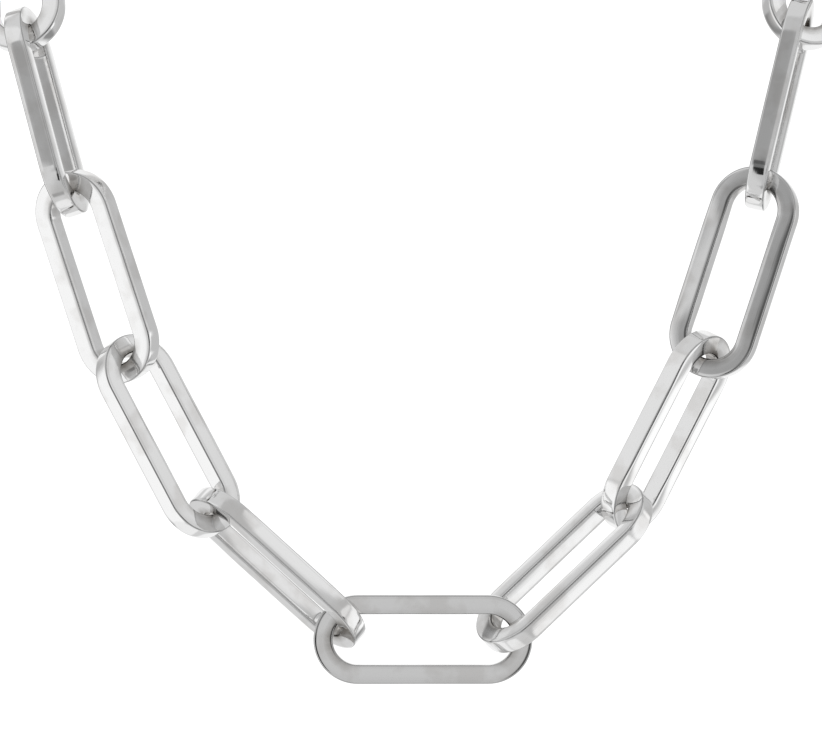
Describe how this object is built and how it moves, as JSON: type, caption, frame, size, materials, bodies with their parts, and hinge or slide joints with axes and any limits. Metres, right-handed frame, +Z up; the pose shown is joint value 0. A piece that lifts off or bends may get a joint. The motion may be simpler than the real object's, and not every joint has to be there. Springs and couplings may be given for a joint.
{
  "type": "paperclip chain necklace",
  "caption": "Heavy silver necklace of long paperclip links in square wire, hanging in a deep curve and closed behind the neck by a plain clasp.",
  "frame": {"origin": "the middle of the clasp's neck side, where the necklace lies on the back of a neck", "axes": "+X to the right of someone who faces the necklace, +Y from its front to its back, +Z up"},
  "size_m": [0.1262, 0.1128, 0.1553],
  "materials": {
    "polished_silver": "polished"
  },
  "bodies": {
    "root": {"link_bottom": "polished_silver", "link_left_1": "polished_silver", "link_left_2": "polished_silver", "link_left_3": "polished_silver", "link_left_4": "polished_silver", "link_left_5": "polished_silver", "link_left_6": "polished_silver", "link_left_7": "polished_silver", "link_left_8": "polished_silver", "link_left_9": "polished_silver", "link_right_1": "polished_silver", "link_right_2": "polished_silver", "link_right_3": "polished_silver", "link_right_4": "polished_silver", "link_right_5": "polished_silver", "link_right_6": "polished_silver", "link_right_7": "polished_silver", "link_right_8": "polished_silver", "link_right_9": "polished_silver", "clasp": "polished_silver", "jump_ring": "polished_silver"}
  },
  "joints": []
}
